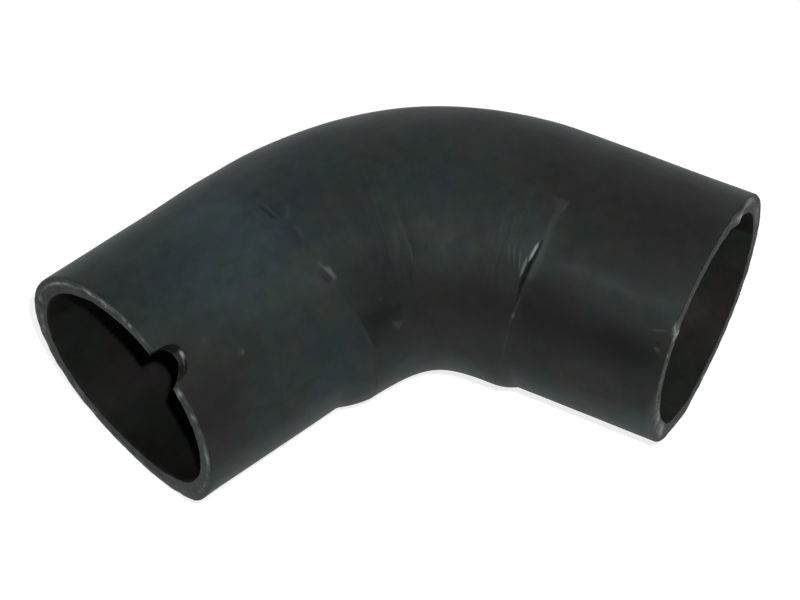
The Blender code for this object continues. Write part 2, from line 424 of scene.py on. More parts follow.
# Some lie along the cut and the rest are stubs: least and most of each measure, in mm
LYING_SHARE = 0.35
LYING_LENGTH = (1.2, 3.4)
LYING_RISE = (0.02, 0.10)
LYING_TIP_SINK = 0.12 * MM
STUB_LENGTH = (0.2, 0.5)
STUB_RISE = (0.25, 0.6)
THREAD_RADIUS = (0.10, 0.17)
THREAD_SINK = 0.25 * MM
THREAD_SIDES = 6
THREAD_END_SHARE = 0.45

# Lamps: azimuth, elevation, distance, size and power. The small one is just up and right
# of the camera, and the wide weak ones are behind the hose
LAMPS = (
    ("key_lamp", 1.5, 60.5, 0.72, 0.015, 3.7),
    ("left_fill", -125.0, 16.0, 1.4, 1.0, 2.0),
    ("back_fill", 180.0, 14.0, 1.4, 1.0, 3.2),
    ("right_fill", 125.0, 16.0, 1.4, 1.0, 2.0),
)

# The room's light, low down and from a height up, as the object gets and mirrors it
ROOM_TOP = 0.75
ROOM_LIGHT = (0.16, 0.03)
MIRRORED_TOP = 0.5
MIRRORED_LIGHT = (0.9, 0.03)

FLOOR_HALF = 6.0
FLOOR_GREY = 0.34
FLOOR_GLOW = 0.82
FLOOR_MIRRORED = 0.5

# Colours that marks turn the rubber towards: the light skin one for scuffs and painted highlights, the
# dark skin one for painted shade in grooves and folds, and the dark cut one for painted shade on the
# notch's wall and for darker spots of the cut
SCUFF_AND_HIGHLIGHT = (0.300, 0.320, 0.320)
SHADED = (0.003, 0.0035, 0.0035)
CUT_PALE = (0.440, 0.475, 0.455)
CUT_SHADED = (0.0085, 0.0100, 0.0095)
CUT_STAINED = (0.0085, 0.0075, 0.0042)

# Draws for the thread ends
rng = random.Random(11)


def ease(share):
    """A smooth rise from 0 to 1 as share goes from 0 to 1, and level outside that."""
    held = np.clip(share, 0.0, 1.0)
    return (1.0 - np.cos(np.pi * held)) / 2.0


def bell(away, reach):
    """1 where away is 0, falling smoothly to 0 beyond the reach."""
    return np.exp(-((away / reach) ** 2))


def round_from(middle, degrees):
    """How far round from a middle turn, from -180 to 180 degrees."""
    return (degrees - middle + 180.0) % 360.0 - 180.0


def find_bend_centre():
    """The bend's centre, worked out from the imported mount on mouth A's outer side."""
    mounts = {mount["name"]: mount for mount in frame["record"]["mounts"]}
    on_rim = np.array(mounts["notched_end_face"]["pos_m"])
    swing = -BEND_ANGLE / 2.0
    outward = np.array((math.sin(swing), math.cos(swing), 0.0))
    onward = np.array((math.cos(swing), -math.sin(swing), 0.0))
    slant = MID_RADIUS * math.tan(MOUTH_A_TILT) * math.cos(MOUTH_A_FARTHEST)
    return on_rim - outward * (BEND_RADIUS + MID_RADIUS) + onward * (ARM_A_LENGTH + slant)


BEND_CENTRE = find_bend_centre()


def spine(along):
    """Centreline points, outward sides and directions towards mouth B, as arrays."""
    on_bend = np.clip(along, BEND_START, BEND_END)
    swing = (on_bend - BEND_START) / BEND_RADIUS - BEND_ANGLE / 2.0
    level = np.zeros_like(swing)
    outward = np.stack((np.sin(swing), np.cos(swing), level), -1)
    onward = np.stack((np.cos(swing), -np.sin(swing), level), -1)
    centre = BEND_CENTRE + outward * BEND_RADIUS + onward * (along - on_bend)[..., None]
    return centre, outward, onward


def tube_points(along, turn, radius):
    """Points of the tube for arrays of along, turn and radius of one shape."""
    centre, outward, onward = spine(along)
    points = centre + outward * (radius * np.cos(turn))[..., None]
    points[..., 2] += radius * np.sin(turn)
    return points


def graded(low, high, plain, zones):
    """Places from low to high, a plain step apart, closer inside each (start, end, step)."""
    places = [low]
    while places[-1] < high:
        here = places[-1]
        steps = [step for start, end, step in zones if start <= here < end]
        places.append(here + min(steps, default=plain))
    places = np.array(places)
    return low + (places - low) * (high - low) / (places[-1] - low)


def cut_wave(turn, twos, threes):
    """A slight wave of a hand-cut mouth: amounts of its second and third harmonics."""
    wave = twos[0] * np.cos(2.0 * turn) + twos[1] * np.sin(2.0 * turn)
    return wave + threes[0] * np.cos(3.0 * turn) + threes[1] * np.sin(3.0 * turn)


def ragged(turn, seed):
    """Small unevenness of a cut edge, the same on every run."""
    rough = np.zeros_like(turn)
    for places, size in RAGGED:
        for spot, angle in enumerate(turn):
            point = Vector((math.cos(angle) * places, math.sin(angle) * places, seed))
            rough[spot] += size * noise.noise(point)
    return rough


def notch_depth(across, form):
    """How deep the notch runs in from mouth A, at a distance across from its middle."""
    width, deepest, lean, shift, low_corner, high_corner = form
    off = across - shift
    share = np.clip(np.abs(off) / (width / 2.0), 0.0, 1.0)
    fullness = np.where(off < 0.0, low_corner, high_corner)
    return (deepest + lean * off) * (1.0 - share**fullness) ** (1.0 / fullness)


def bumps_round(turn, bumps):
    """Sum of smooth bumps at each turn, each of (middle turn, reach, how much)."""
    total = np.zeros(turn.shape)
    for middle, reach, amount in bumps:
        total += amount * MM * bell(round_from(middle, np.degrees(turn)), reach)
    return total


def rim_a(turn, radius):
    """Along of mouth A's cut edge."""
    slant = -radius * math.tan(MOUTH_A_TILT) * np.cos(turn - MOUTH_A_FARTHEST)
    wave = cut_wave(turn, *CUT_WAVE_A)
    wave = wave - CUT_SHORT_A * np.clip(np.cos(turn - CUT_SHORT_TURN_A), 0.0, None)
    wave = wave + bumps_round(turn, CUT_BUMPS_A)
    this_side = np.cos(turn - NOTCH_TURN) > 0.0
    across = np.where(this_side, radius * np.sin(turn - NOTCH_TURN), OUTER_RADIUS)
    form = NOTCH_IN_SKIN if radius > MID_RADIUS else NOTCH_IN_BORE
    return slant - wave + notch_depth(across, form) + ragged(turn, RAGGED_SEED_A)


def rim_b(turn, radius):
    """Along of mouth B's cut edge, with the jog where the lapped ply ends."""
    slant = radius * math.tan(MOUTH_B_TILT) * np.cos(turn - MOUTH_B_FARTHEST)
    wave = cut_wave(turn, *CUT_WAVE_B)
    wave = wave + bumps_round(turn, CUT_BUMPS_B)
    return FULL_LENGTH + slant + wave + ragged(turn, RAGGED_SEED_B)


def bore_turns(turns):
    """Turns in the bore of the columns, which run straight in across the notch's walls."""
    off = turns - NOTCH_TURN
    across = np.where(np.cos(off) > 0.0, OUTER_RADIUS * np.sin(off), OUTER_RADIUS)
    near = 1.0 - ease((np.abs(across) - NOTCH_WALL_REACH) / NOTCH_WALL_FADE)
    held = np.clip(across, -NOTCH_WALL_LIMIT, NOTCH_WALL_LIMIT)
    spread = np.arcsin(held / BORE_RADIUS) - np.arcsin(held / OUTER_RADIUS)
    return turns + near * spread


def swell(along):
    """Extra wall on the bend's inner side, full in the bend and gone past each crease."""
    share = np.clip((along - BEND_START) / BEND_LENGTH, 0.0, 1.0)
    gone_a = np.clip(share / SWELL_MIDDLE_PLACE, 0.0, 1.0)
    near_b = np.clip((share - SWELL_MIDDLE_PLACE) / (1.0 - SWELL_MIDDLE_PLACE), 0.0, 1.0)
    in_bend = SWELL_MIDDLE + (SWELL_AT_A - SWELL_MIDDLE) * ease(1.0 - gone_a**SWELL_FALL_POWER)
    in_bend = in_bend + (SWELL_AT_B - SWELL_MIDDLE) * ease(near_b**SWELL_RISE_POWER)
    before_a = np.clip(1.0 - (along - CREASE_A) / (SWELL_END_LONGER_A * CREASE_A_RUN), 0.0, 1.0)
    after_b = np.clip(1.0 - (CREASE_B - along) / CREASE_B_RUN, 0.0, 1.0)
    return in_bend * (1.0 - before_a**SWELL_END_POWER_A) * (1.0 - after_b**SWELL_END_POWER_B)


def outer_waves(along, turn):
    """Height of the broad rises and hollows on the outer side."""
    round_at, round_reach = OUTER_WAVES_TURN
    height = np.zeros(along.shape)
    for middle, reach, tall in OUTER_WAVES:
        height += tall * MM * bell(along / MM - middle, reach)
    return height * bell(np.degrees(turn) - round_at, round_reach)


def lap(along, turn):
    """The lapped ply on arm B: a low rise that ends in a soft step."""
    drift = np.clip((along - LAP_DRIFT_START) / (FULL_LENGTH - LAP_DRIFT_START), 0.0, None)
    before = (LAP_EDGE + LAP_DRIFT * drift**LAP_DRIFT_POWER - turn) / LAP_FADE
    rise = np.where(before >= 0.0, np.clip(1.0 - before, 0.0, 1.0) ** LAP_RISE_POWER, 0.0)
    past = np.clip(1.0 + before * LAP_FADE / LAP_STEP_WIDTH, 0.0, 1.0)
    step = np.where(before < 0.0, ease(past), 0.0)
    arm = ease((along - CREASE_B - LAP_ARM_START) / LAP_ARM_RUN)
    return LAP_STEP * arm * np.maximum(rise, step)


def on_skin(course):
    """A course of (along mm, turn degrees) as points (along, arc) of the plain skin."""
    return np.array([(place * MM, math.radians(turn) * OUTER_RADIUS) for place, turn in course])


def beside(along, arc, start, leg):
    """Where on a leg the nearest point to each place is, as a share, and how far off."""
    share = ((along - start[0]) * leg[0] + (arc - start[1]) * leg[1]) / (leg @ leg)
    held = np.clip(share, 0.0, 1.0)
    return held, np.hypot(along - start[0] - held * leg[0], arc - start[1] - held * leg[1])


def stroke(along, arc, course, half_width):
    """How near each place is to a course: 1 on it, 0 well beside it, and soft at its ends."""
    knots = on_skin(course)
    legs = knots[1:] - knots[:-1]
    lengths = np.hypot(legs[:, 0], legs[:, 1])
    so_far = np.concatenate(((0.0,), np.cumsum(lengths)))
    nearest = np.full(along.shape, FAR_AWAY)
    gone = np.zeros(along.shape)
    for start, leg, length, before in zip(knots, legs, lengths, so_far):
        held, away = beside(along, arc, start, leg)
        closer = away < nearest
        nearest = np.where(closer, away, nearest)
        gone = np.where(closer, before + held * length, gone)
    full = so_far[-1]
    taper = ease(np.minimum(gone, full - gone) / (TAPER_SHARE * full))
    thin = END_WIDTH + (1.0 - END_WIDTH) * taper
    low = END_HEIGHT + (1.0 - END_HEIGHT) * taper
    return bell(nearest, half_width * MM * thin) * low


def facet(along, arc, corners, soft):
    """1 inside a facet's corners and 0 outside, with an edge that is soft mm wide."""
    knots = on_skin(corners)
    nearest = np.full(along.shape, FAR_AWAY)
    inside = np.zeros(along.shape, bool)
    for start, stop in zip(knots, np.roll(knots, -1, axis=0)):
        leg = stop - start
        nearest = np.minimum(nearest, beside(along, arc, start, leg)[1])
        passes = (start[1] > arc) != (stop[1] > arc)
        level = leg[1] if leg[1] else 1.0
        inside ^= passes & (along < start[0] + (arc - start[1]) / level * leg[0])
    signed = np.where(inside, -nearest, nearest)
    return ease(0.5 - signed / (soft * MM))


def marks_on(along, turn):
    """Height, tone and gloss that all the lines and facets give, as arrays."""
    arc = turn * OUTER_RADIUS
    height = np.zeros(along.shape)
    tone = np.zeros(along.shape)
    gloss = np.zeros(along.shape)
    shapes = [(stroke(along, arc, course, half_width), *rest) for course, half_width, *rest in LINES]
    shapes += [(facet(along, arc, corners, soft), *rest) for corners, soft, *rest in FACETS]
    for shape, rise, lighter, *shine in shapes:
        height += rise * MM * shape
        tone += lighter * shape
        gloss = np.maximum(gloss, sum(shine) * shape)
    return height, tone, gloss


def unevenness(points, sizes):
    """Sum of smooth noises over an array of points: (pattern size, height) pairs."""
    flat = points.reshape(-1, 3)
    total = np.zeros(len(flat))
    for pattern, height in sizes:
        spots = flat / pattern
        total += height * np.array([noise.noise(Vector(spot)) for spot in spots])
    return total.reshape(points.shape[:-1])


def areas_on(along, turn, areas, plain_cool):
    """How light and how blue-green broad areas make a surface, as arrays."""
    shade = np.ones(along.shape)
    cool = np.full(along.shape, plain_cool)
    for middle, round_at, reach, round_reach, lighter, *bluer in areas:
        off = ((along / MM - middle) / reach) ** 2 + ((np.degrees(turn) - round_at) / round_reach) ** 2
        near = np.exp(-(off**AREA_EDGE_POWER))
        shade *= 1.0 + lighter * near
        cool += sum(bluer) * near
    return shade, cool


def pulls_on(along, turn):
    """Where the skin shows fine pulls round the tube, from 0 to 1."""
    round_at, round_reach = PULLED_TURN
    near = [bell(along / MM - middle, reach) for middle, reach in PULLED]
    return np.clip(sum(near), 0.0, 1.0) * bell(np.degrees(turn) - round_at, round_reach)


def skin_turns():
    """Turns of the mesh's columns: close on the side that shows marks, and at the notch."""
    zones = [MARKED_COLUMNS]
    for form in (NOTCH_IN_SKIN, NOTCH_IN_BORE):
        width, shift = form[0], form[3]
        for side in (shift - width / 2.0, shift + width / 2.0):
            corner = math.degrees(NOTCH_TURN + math.asin(side / OUTER_RADIUS))
            zones.append((corner - NOTCH_CORNER_REACH, corner + NOTCH_CORNER_REACH, NOTCH_CORNER_STEP))
    return np.radians(graded(0.0, 360.0, COLUMN_STEP, zones)[:-1])


def to_mouths(stations, turn, radius):
    """Along of each station and column, drawn out or in so that the ends meet the cuts."""
    start = rim_a(turn, radius)
    stop = rim_b(turn, radius)
    from_a = np.clip(1.0 - stations / MOUTH_REACH, 0.0, 1.0)[:, None] ** 2
    from_b = np.clip(1.0 - (FULL_LENGTH - stations) / MOUTH_REACH, 0.0, 1.0)[:, None] ** 2
    along = stations[:, None] + from_a * start[None] + from_b * (stop - FULL_LENGTH)[None]
    return along, along - start[None], stop[None] - along


def edge_fall(from_start, from_end):
    """How far a rounded edge falls back, by the distances from the two cuts."""
    nearest = np.minimum(from_start, from_end)
    return EDGE_ROUND * np.clip(1.0 - nearest / EDGE_RUN, 0.0, 1.0) ** 2


def make_skin(turns):
    """The outer skin's points, and its looks as named arrays."""
    stations = graded(0.0, END_B, ROW_STEP, ROW_ZONES) * MM
    along, from_start, from_end = to_mouths(stations, turns, OUTER_RADIUS)
    turn = np.broadcast_to(turns, along.shape)
    inner_side = np.clip(-np.cos(turn), 0.0, None) ** SWELL_FADE_POWER
    height, tone, gloss = marks_on(along, turn)
    plain = tube_points(along, turn, np.full(along.shape, OUTER_RADIUS))
    height = height + swell(along) * inner_side + lap(along, turn) + outer_waves(along, turn)
    height = height + unevenness(plain, SKIN_UNEVEN)
    height = height - edge_fall(from_start, from_end)
    height = height + bumps_round(turns, SKIN_FLARE_A) * bell(from_start, FLARE_DEPTH)
    points = tube_points(along, turn, OUTER_RADIUS + height)
    points[..., 2] = np.maximum(points[..., 2], 0.0)
    shade, cool = areas_on(along, turn, AREAS, SKIN_COOL)
    looks = {"tone": tone, "gloss": gloss, "shade": shade, "cool": cool, "along": along}
    looks["pulls"] = pulls_on(along, turn)
    return points, looks


def make_bore(turns):
    """The bore's points, slightly uneven, and its shade and how green it is."""
    stations = graded(0.0, END_B, BORE_ROW_STEP, BORE_ROW_ZONES) * MM
    inside = bore_turns(turns)
    along, from_start, from_end = to_mouths(stations, inside, BORE_RADIUS)
    turn = np.broadcast_to(inside, along.shape)
    plain = tube_points(along, turn, np.full(along.shape, BORE_RADIUS))
    fall = unevenness(plain, BORE_UNEVEN) + edge_fall(from_start, from_end)
    fall = fall + bumps_round(inside, BORE_FLARE_A) * bell(from_start, FLARE_DEPTH)
    fall = fall + bumps_round(inside, BORE_FLARE_B) * bell(from_end, FLARE_DEPTH)
    return tube_points(along, turn, BORE_RADIUS + fall), areas_on(along, turn, BORE_AREAS, 0.0)


def near_spot(degrees, share, spot):
    """1 at a spot of a cut face, falling to 0 beside it."""
    middle, reach, depth, depth_reach = spot
    return bell(round_from(middle, degrees), reach) * bell(share - depth, depth_reach)


def make_rim(turns, end, spots):
    """Rows of the cut face at an end, uneven, with the ply's line and its spots."""
    outer_edge, bore_edge, outward = end
    rows, tones, plies = [], [], []
    degrees = np.degrees(turns)
    for row in range(1, RIM_ROWS):
        share = row / RIM_ROWS
        base = outer_edge + (bore_edge - outer_edge) * share
        rough = unevenness(base, CUT_UNEVEN)
        ply = np.full(len(base), bell(share - PLY_SHARE, PLY_HALF_WIDTH))
        paler = sum(amount * near_spot(degrees, share, place) for *place, amount in spots)
        crown = CUT_CROWN * math.sin(math.pi * share)
        lift = SPOT_RISE * np.clip(paler, 0.0, 1.0)
        rows.append(base + outward * (rough + crown + lift - PLY_GROOVE * ply)[:, None])
        tones.append(paler)
        plies.append(ply)
    return np.array(rows), np.array(tones), np.array(plies)


def sleeve_faces(rows, columns):
    """Quads of a sleeve that closes round and whose last row meets its first."""
    row, column = np.meshgrid(np.arange(rows), np.arange(columns), indexing="ij")
    after = (column + 1) % columns
    near = row * columns
    far = (row + 1) % rows * columns
    quads = np.stack((far + column, far + after, near + after, near + column), -1).reshape(-1, 4)
    # The row that joins the ends is split along its other diagonal
    quads[-columns:] = np.roll(quads[-columns:], 1, axis=1)
    return quads


def hose_mesh():
    """The whole closed mesh, as one sleeve turned on itself, and its two ends."""
    turns = skin_turns()
    skin, looks = make_skin(turns)
    bore, (bore_shade, bore_cool) = make_bore(turns)
    end_a = (skin[0], bore[0], -spine(np.array(0.0))[2])
    end_b = (skin[-1], bore[-1], spine(np.array(FULL_LENGTH))[2])
    cut_a, tone_a, ply_a = make_rim(turns, end_a, SPOTS_AT_A)
    cut_b, tone_b, ply_b = make_rim(turns, end_b, SPOTS_AT_B)
    sleeve = np.concatenate((skin, cut_b, bore[::-1], cut_a[::-1]))
    rows, columns = sleeve.shape[:2]
    blank = np.zeros(bore.shape[:2])
    no_cut = np.zeros(tone_b.shape)
    looks["shade"] = np.concatenate((looks["shade"], no_cut, bore_shade[::-1]))
    looks["cool"] = np.concatenate((looks["cool"], no_cut, bore_cool[::-1]))
    looks["tone"] = np.concatenate((looks["tone"], tone_b, blank, tone_a[::-1]))
    looks["ply"] = np.concatenate((np.zeros(skin.shape[:2]), ply_b, blank, ply_a[::-1]))
    looks["stain"] = np.zeros((rows, columns))
    looks["stain"][-len(cut_a):] = bell(round_from(STAINED[0], np.degrees(turns)), STAINED[1])
    counts = np.array((len(skin) - 1, len(cut_b) + 1, len(bore) - 1, len(cut_a) + 1))
    slots = np.repeat(np.array((0, 1, 2, 1)), counts * columns)
    mesh = bpy.data.meshes.new("hose_skin")
    mesh.from_pydata(sleeve.reshape(-1, 3).tolist(), [], sleeve_faces(rows, columns).tolist())
    mesh.polygons.foreach_set("material_index", slots.astype(np.int32))
    for name, values in looks.items():
        whole = np.zeros((rows, columns), np.float32)
        whole[: len(values)] = values
        layer = mesh.attributes.new(name, "FLOAT", "POINT")
        layer.data.foreach_set("value", whole.ravel())
    mesh.shade_smooth()
    mesh.set_sharp_from_angle(angle=SHARP_ANGLE)
    mesh.update()
    return mesh, end_a, end_b


def node(tree, kind, **settings):
    """A new node with those settings."""
    made = tree.nodes.new(kind)
    for name, value in settings.items():
        setattr(made, name, value)
    return made


def feed(socket, value):
    """Gives an input what comes out of another socket, or a plain number or colour."""
    if isinstance(value, bpy.types.NodeSocket):
        socket.id_data.links.new(value, socket)
    else:
        socket.default_value = (*value, 1.0) if socket.type == "RGBA" else value


def fill(made, values):
    """Feeds several inputs of a node, by name or number."""
    for name, value in values.items():
        feed(made.inputs[name], value)


def noise_at(place, scale, detail=3.0, roughness=0.5):
    """A noise of that scale, in patterns to the metre."""
    made = node(place.id_data, "ShaderNodeTexNoise")
    fill(made, {"Vector": place, "Scale": scale, "Detail": detail, "Roughness": roughness})
    return made.outputs["Fac"]


def ramp(factor, stops):
    """A colour ramp with the given (place, colour) stops."""
    made = node(factor.id_data, "ShaderNodeValToRGB")
    elements = made.color_ramp.elements
    while len(elements) < len(stops):
        elements.new(0.5)
    for element, (place, colour) in zip(elements, stops):
        element.position = place
        element.color = (*colour, 1.0)
    fill(made, {"Fac": factor})
    return made.outputs["Color"]


def mixed(factor, first, second, blend="MIX", kind="Color"):
    """A mix of two colours, or with the kind Float of two numbers."""
    data_type = "RGBA" if kind == "Color" else "FLOAT"
    made = node(first.id_data, "ShaderNodeMix", data_type=data_type, blend_type=blend)
    sockets = {item.identifier: item for item in made.inputs}
    for name, value in (("Factor_Float", factor), ("A_" + kind, first), ("B_" + kind, second)):
        feed(sockets[name], value)
    return next(item for item in made.outputs if item.identifier == "Result_" + kind)


def remapped(value, from_low, from_high, to_low, to_high):
    """A value carried from one range to another and kept inside it."""
    made = node(value.id_data, "ShaderNodeMapRange")
    fill(made, {"Value": value, "From Min": from_low, "From Max": from_high})
    fill(made, {"To Min": to_low, "To Max": to_high})
    return made.outputs["Result"]


def calculated(operation, first, second):
    """What a Math node makes of a socket and another one or a number."""
    made = node(first.id_data, "ShaderNodeMath", operation=operation)
    fill(made, {0: first, 1: second})
    return made.outputs["Value"]


def plus(first, second):
    return calculated("ADD", first, second)


def times(first, second):
    return calculated("MULTIPLY", first, second)


def bumped(layers):
    """Bumps in a chain, each of (height socket, strength, distance)."""
    normal = None
    for height, strength, distance in layers:
        made = node(height.id_data, "ShaderNodeBump")
        fill(made, {"Height": height, "Strength": strength, "Distance": distance})
        if normal is not None:
            fill(made, {"Normal": normal})
        normal = made.outputs["Normal"]
    return normal


def new_material(name):
    """A material, with its shader and the object's coordinates."""
    material = bpy.data.materials.new(name)
    material.use_nodes = True
    tree = material.node_tree
    place = node(tree, "ShaderNodeTexCoord").outputs["Object"]
    return material, tree.nodes["Principled BSDF"], place


def reading(beside_it, name):
    """The mesh's values of that name, in the node tree of another socket."""
    return node(beside_it.id_data, "ShaderNodeAttribute", attribute_name=name).outputs["Fac"]


def toned(colour, light, dark):
    """A colour made lighter where the tone is above 0, and darker where it is below."""
    tone = reading(colour, "tone")
    colour = mixed(remapped(tone, 0.0, 1.0, 0.0, 1.0), colour, light)
    return mixed(remapped(tone, 0.0, -1.0, 0.0, 1.0), colour, dark)


def round_grain(place):
    """Fine lines round the tube, left by the cloth that it was wrapped in."""
    tree = place.id_data
    parts = node(tree, "ShaderNodeSeparateXYZ")
    fill(parts, {"Vector": place})
    stretched = node(tree, "ShaderNodeCombineXYZ")
    height = times(parts.outputs["Z"], 0.12)
    across = times(parts.outputs["Y"], 0.05)
    fill(stretched, {"X": reading(place, "along"), "Y": height, "Z": across})
    return noise_at(stretched.outputs["Vector"], 900.0, 2.0)


def skin_material():
    """Satin black rubber with soft blue-green and brown clouds, scuffs and fine pulls, and painted
    highlights, painted shade and painted edge reflections.
    """
    material, shader, place = new_material("rubber_skin")
    drift = remapped(noise_at(place, 110.0, 4.0, 0.65), 0.28, 0.72, -0.55, 0.55)
    # The cool attribute holds the rubber's tint and also the painted blue-green reflection along its
    # edges
    colour = ramp(plus(reading(place, "cool"), drift), (
        (0.02, (0.0276, 0.0276, 0.0272)),
        (0.30, (0.0246, 0.0282, 0.0266)),
        (0.62, (0.0210, 0.0284, 0.0274)),
        (1.00, (0.0180, 0.0282, 0.0300)),
    ))
    tints = ramp(noise_at(place, 145.0, 3.0, 0.6), (
        (0.34, (0.97, 1.04, 0.90)),
        (0.50, (1.0, 1.0, 1.0)),
        (0.66, (1.07, 0.95, 1.08)),
    ))
    colour = mixed(1.0, colour, tints, "MULTIPLY")
    large = remapped(noise_at(place, 42.0, 3.0, 0.55), 0.25, 0.75, 0.80, 1.20)
    small = remapped(noise_at(place, 240.0, 4.0, 0.62), 0.25, 0.75, 0.80, 1.20)
    grain = remapped(round_grain(place), 0.3, 0.7, -0.11, 0.11)
    pulls = times(grain, reading(place, "pulls"))
    shade = times(times(large, small), plus(pulls, 1.0))
    # The shade attribute paints the broad areas' light and shade
    shade = times(shade, reading(place, "shade"))
    colour = mixed(1.0, colour, shade, "MULTIPLY")
    base = remapped(noise_at(place, 75.0, 4.0), 0.3, 0.7, 0.62, 0.76)
    glossy = remapped(reading(place, "gloss"), 0.0, 1.0, 0.0, -0.36)
    layers = (
        (noise_at(place, 320.0, 4.0), 0.25, 0.0003),
        (pulls, 0.45, 0.0005),
        (noise_at(place, 2400.0, 2.0), 0.18, 0.00006),
    )
    fill(shader, {
        # Marks' tones paint highlights on lips and ridges and shade in grooves and folds, besides a
        # few real scuffs
        "Base Color": toned(colour, SCUFF_AND_HIGHLIGHT, SHADED),
        "Roughness": plus(base, glossy),
        "Specular IOR Level": 0.18,
        "Sheen Weight": 0.10,
        "Sheen Roughness": 0.4,
        "Normal": bumped(layers),
    })
    return material


def cut_material():
    """Cut rubber, paler and olive, with broken pale lines where the ply shows."""
    material, shader, place = new_material("rubber_cut_face")
    rubber = ramp(noise_at(place, 380.0, 4.0, 0.65), (
        (0.32, (0.022, 0.028, 0.025)),
        (0.50, (0.038, 0.047, 0.041)),
        (0.68, (0.062, 0.073, 0.064)),
    ))
    drift = remapped(noise_at(place, 95.0, 3.0), 0.3, 0.7, 0.72, 1.28)
    stain = reading(place, "stain")
    colour = mixed(stain, mixed(1.0, rubber, drift, "MULTIPLY"), CUT_STAINED)
    broken = remapped(noise_at(place, 420.0, 3.0, 0.6), 0.47, 0.62, 0.0, 0.26)
    tone = reading(place, "tone")
    ragged_spots = remapped(noise_at(place, 620.0, 3.0, 0.6), 0.36, 0.56, 0.30, 1.0)
    pale = plus(times(broken, reading(place, "ply")), times(ragged_spots, tone))
    # Minus tones paint shade, as on the notch's upper wall, and also darken spots of the cut
    dark = remapped(tone, 0.0, -1.0, 0.0, 1.0)
    dull = calculated("MAXIMUM", dark, stain)
    layers = ((noise_at(place, 800.0, 4.0, 0.65), 0.6, 0.0003),)
    fill(shader, {
        "Base Color": mixed(dark, mixed(pale, colour, CUT_PALE), CUT_SHADED),
        "Roughness": 0.66,
        "Specular IOR Level": remapped(dull, 0.0, 1.0, 0.32, 0.04),
        "Normal": bumped(layers),
    })
    return material


def bore_material():
    """The bore's rubber, browner and duller than the skin."""
    material, shader, place = new_material("rubber_bore")
    greener = plus(noise_at(place, 62.0, 3.0, 0.6), reading(place, "cool"))
    tints = ramp(greener, (
        (0.34, (0.0086, 0.0056, 0.0054)),
        (0.50, (0.0074, 0.0066, 0.0058)),
        (0.64, (0.0056, 0.0074, 0.0060)),
    ))
    clouds = remapped(noise_at(place, 150.0, 4.0, 0.65), 0.28, 0.72, 0.66, 1.34)
    # The shade attribute paints light and shade inside the bore
    shade = times(clouds, reading(place, "shade"))
    layers = ((noise_at(place, 420.0, 4.0), 0.35, 0.0003),)
    fill(shader, {
        "Base Color": mixed(1.0, tints, shade, "MULTIPLY"),
        "Roughness": remapped(noise_at(place, 120.0, 3.0), 0.3, 0.7, 0.58, 0.75),
        "Specular IOR Level": 0.14,
        "Normal": bumped(layers),
    })
    return material


def thread_material():
    """Undyed polyester thread, dulled by rubber."""
    material, shader, place = new_material("ply_thread")
    colour = ramp(noise_at(place, 700.0, 3.0), (
        (0.35, (0.10, 0.105, 0.095)),
        (0.60, (0.30, 0.31, 0.28)),
    ))
    fibres = ((noise_at(place, 6000.0, 2.0), 0.4, 0.00005),)
    fill(shader, {"Base Color": colour, "Roughness": 0.8, "Normal": bumped(fibres)})
    return material


def thread_tube(points, radius):
    """Corners and faces of a short thread that narrows at its ends."""
    path = [Vector(point) for point in points]
    corners = []
    faces = []
    sides = THREAD_SIDES
    for spot, point in enumerate(path):
        ahead = path[min(spot + 1, len(path) - 1)] - path[max(spot - 1, 0)]
        side = ahead.orthogonal().normalized()
        other = ahead.normalized().cross(side)
        thick = radius * (THREAD_END_SHARE if spot in (0, len(path) - 1) else 1.0)
        for corner in range(sides):
            angle = math.tau * corner / sides
            corners.append(point + (side * math.cos(angle) + other * math.sin(angle)) * thick)
    for spot in range(len(path) - 1):
        for corner in range(sides):
            after = (corner + 1) % sides
            near = spot * sides
            faces.append((near + corner, near + after, near + sides + after, near + sides + corner))
    faces.append(tuple(reversed(range(sides))))
    faces.append(tuple(range((len(path) - 1) * sides, len(path) * sides)))
    return corners, faces


def make_threads(name, end, count, keep, bare=(0.0, 0.0)):
    """Thread ends round one cut face, at the ply: short stubs, and some that lie along it."""
    outer_edge, bore_edge, outward = end
    ring = outer_edge + (bore_edge - outer_edge) * PLY_SHARE
    degrees = np.degrees(skin_turns())
    total = len(ring)
    spacing = np.linalg.norm(np.roll(ring, -1, axis=0) - ring, axis=1)
    so_far = np.concatenate(((0.0,), np.cumsum(spacing)))
    corners = []
    faces = []

    def column_at(distance):
        return int(np.searchsorted(so_far, distance % so_far[-1], side="right") - 1) % total

    def at(distance):
        spot = column_at(distance)
        share = (distance % so_far[-1] - so_far[spot]) / max(spacing[spot], 1e-9)
        return ring[spot] + (ring[(spot + 1) % total] - ring[spot]) * share

    for number in range(count):
        start = so_far[-1] * (number + rng.uniform(-0.3, 0.3)) / count
        lies = rng.random() < LYING_SHARE
        wanted = rng.random() < keep
        reach = rng.uniform(*(LYING_LENGTH if lies else STUB_LENGTH)) * MM
        radius = rng.uniform(*THREAD_RADIUS) * MM
        rise = rng.uniform(*(LYING_RISE if lies else STUB_RISE)) * MM
        base = at(start)
        tip = at(start + reach)
        is_bare = bare[0] < degrees[column_at(start)] < bare[1]
        spans_corner = np.linalg.norm(tip - base) > 1.3 * reach + 0.3 * MM
        if not wanted or is_bare or spans_corner:
            continue
        middle = (base + tip) / 2.0 + outward * rise
        tip_rise = -LYING_TIP_SINK if lies else rise
        path = (base - outward * THREAD_SINK, middle, tip + outward * tip_rise)
        made, quads = thread_tube(path, radius)
        first = len(corners)
        corners.extend(made)
        faces.extend(tuple(first + corner for corner in quad) for quad in quads)
    mesh = bpy.data.meshes.new(name)
    mesh.from_pydata([tuple(corner) for corner in corners], [], faces)
    mesh.shade_smooth()
    return mesh


def new_object(name, data):
    """A new object in the scene."""
    made = bpy.data.objects.new(name, data)
    bpy.context.scene.collection.objects.link(made)
    return made


